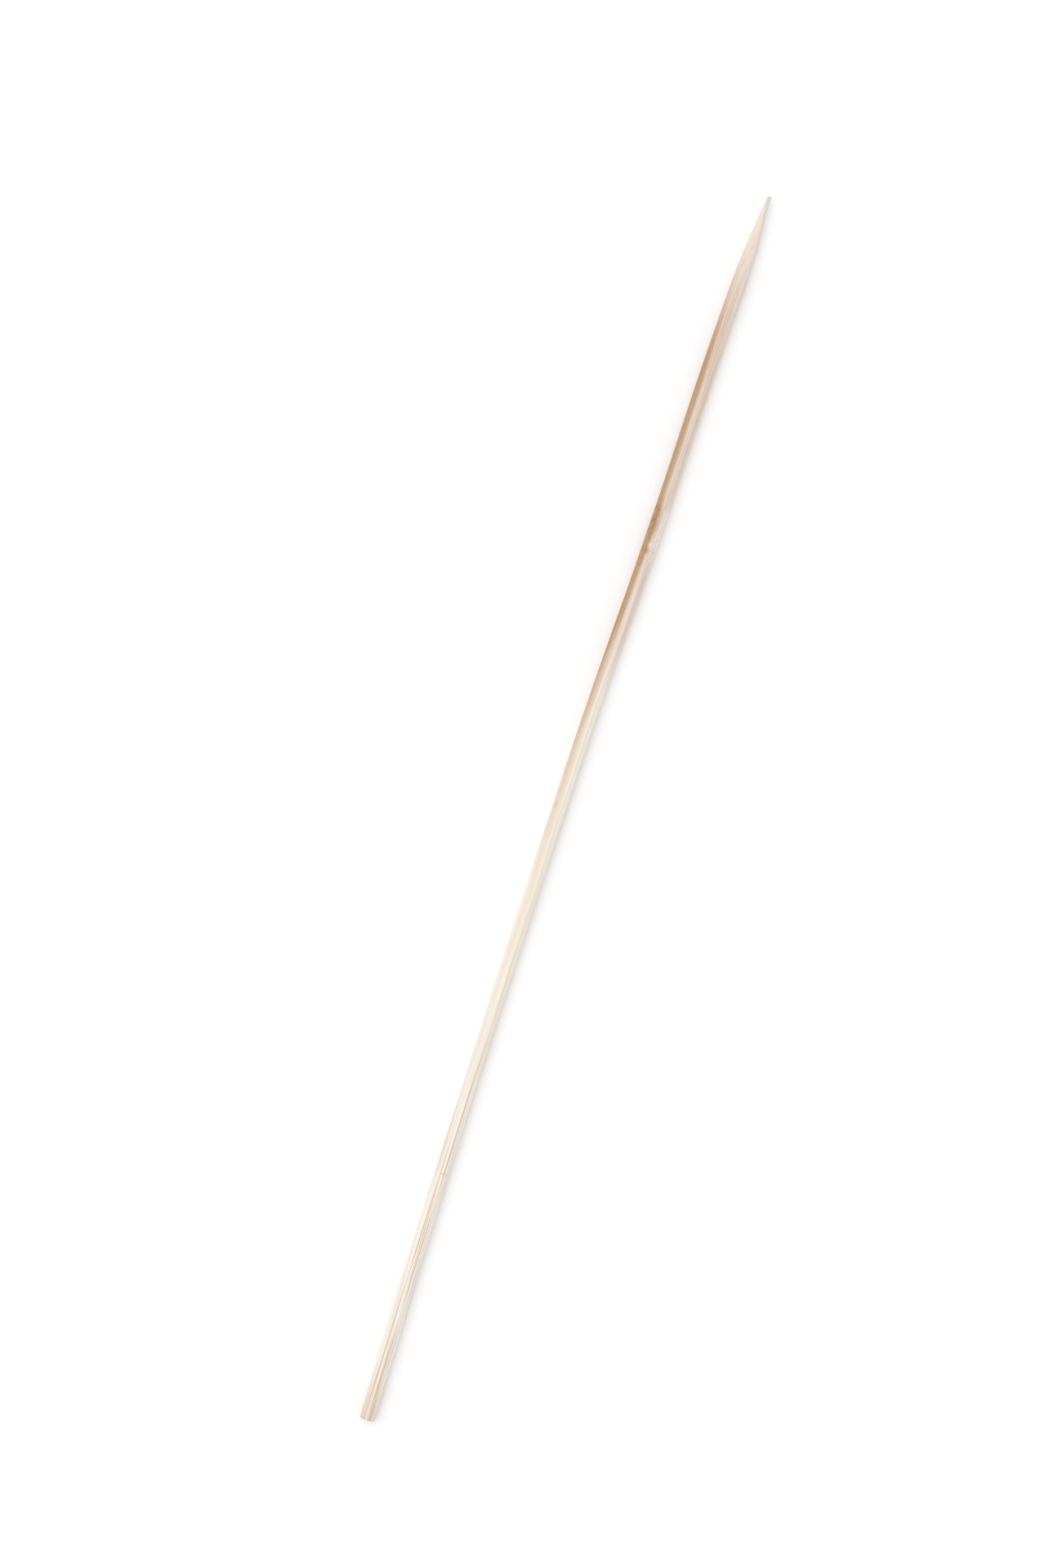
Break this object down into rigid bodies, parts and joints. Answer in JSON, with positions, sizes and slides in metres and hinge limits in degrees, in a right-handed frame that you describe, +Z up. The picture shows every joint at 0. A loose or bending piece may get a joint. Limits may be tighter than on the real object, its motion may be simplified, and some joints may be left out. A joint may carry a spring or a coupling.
{
  "type": "bamboo skewer",
  "caption": "Long thin rounded bamboo stick with a blunt ground tip, a low node and a square sawn butt, lying on its flat underside.",
  "frame": {"origin": "on the surface the stick lies on, under the middle of its outline seen from above", "axes": "+Y along the stick from the butt to the tip, +Z up, +X to the right of the stick seen from above with the tip away from the viewer"},
  "size_m": [0.0054, 0.3, 0.0034],
  "materials": {
    "bamboo": "dry and matte, with straight pale fibres and fine brown streaks"
  },
  "bodies": {
    "root": {"skewer": "bamboo"}
  },
  "joints": []
}
